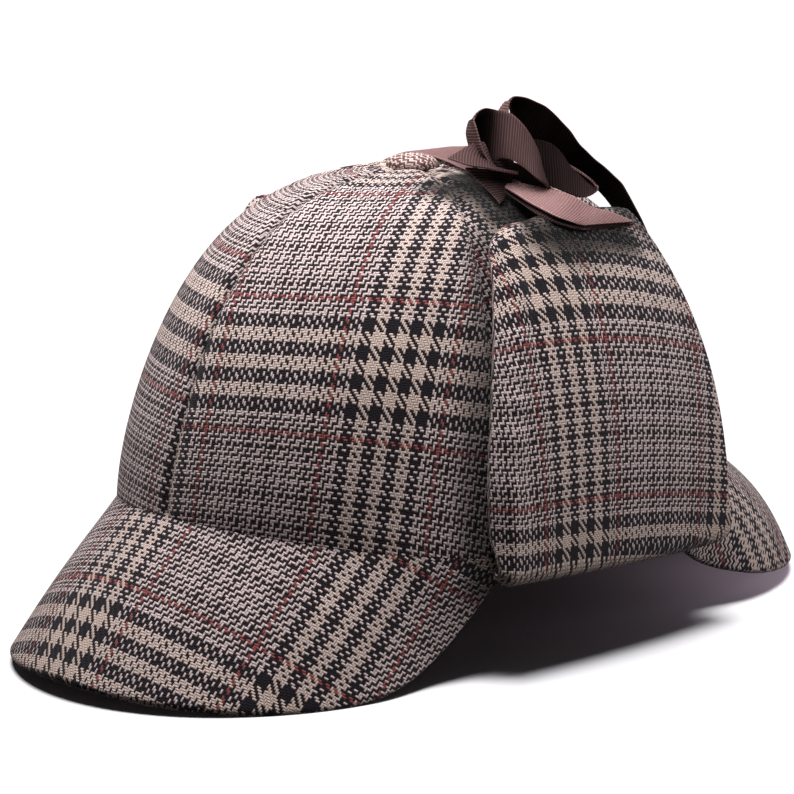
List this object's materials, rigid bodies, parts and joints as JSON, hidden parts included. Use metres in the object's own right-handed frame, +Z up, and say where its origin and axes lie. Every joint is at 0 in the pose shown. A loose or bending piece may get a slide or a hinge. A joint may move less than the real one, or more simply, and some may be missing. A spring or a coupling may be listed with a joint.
{
  "type": "deerstalker hat",
  "caption": "Tweed deerstalker hat with a panelled crown, a covered button, visors front and back, and ear flaps folded up and tied over the crown with a ribbon bow.",
  "frame": {"origin": "centre of the bounding box in plan, on the surface that the visors rest on", "axes": "+Z up through the crown's button, -Y towards the front visor, +X towards the wearer's left"},
  "size_m": [0.1788, 0.307, 0.1713],
  "materials": {
    "crown_panel_front_left_tweed": "woven wool twill",
    "crown_panel_side_left_tweed": "woven wool twill",
    "crown_panel_back_left_tweed": "woven wool twill",
    "crown_panel_back_right_tweed": "woven wool twill",
    "crown_panel_side_right_tweed": "woven wool twill",
    "crown_panel_front_right_tweed": "woven wool twill",
    "crown_button_tweed": "woven wool twill",
    "front_visor_tweed": "woven wool twill",
    "rear_visor_tweed": "woven wool twill",
    "ear_flap_left_tweed": "woven wool twill",
    "ear_flap_right_tweed": "woven wool twill",
    "tie_left_ribbon": "ribbed ribbon",
    "tie_right_ribbon": "ribbed ribbon",
    "bow_knot_ribbon": "ribbed ribbon",
    "bow_loop_front_ribbon": "ribbed ribbon",
    "bow_loop_rear_ribbon": "ribbed ribbon",
    "bow_strip_ribbon": "ribbed ribbon",
    "bow_tail_left_ribbon": "ribbed ribbon",
    "bow_tail_right_ribbon": "ribbed ribbon"
  },
  "bodies": {
    "root": {"crown_panel_front_left": "crown_panel_front_left_tweed", "crown_panel_side_left": "crown_panel_side_left_tweed", "crown_panel_back_left": "crown_panel_back_left_tweed", "crown_panel_back_right": "crown_panel_back_right_tweed", "crown_panel_side_right": "crown_panel_side_right_tweed", "crown_panel_front_right": "crown_panel_front_right_tweed", "crown_button": "crown_button_tweed", "front_visor": "front_visor_tweed", "rear_visor": "rear_visor_tweed", "ear_flap_left": "ear_flap_left_tweed", "ear_flap_right": "ear_flap_right_tweed", "tie_left": "tie_left_ribbon", "tie_right": "tie_right_ribbon", "bow_knot": "bow_knot_ribbon", "bow_loop_front": "bow_loop_front_ribbon", "bow_loop_rear": "bow_loop_rear_ribbon", "bow_strip": "bow_strip_ribbon", "bow_tail_left": "bow_tail_left_ribbon", "bow_tail_right": "bow_tail_right_ribbon"}
  },
  "joints": []
}
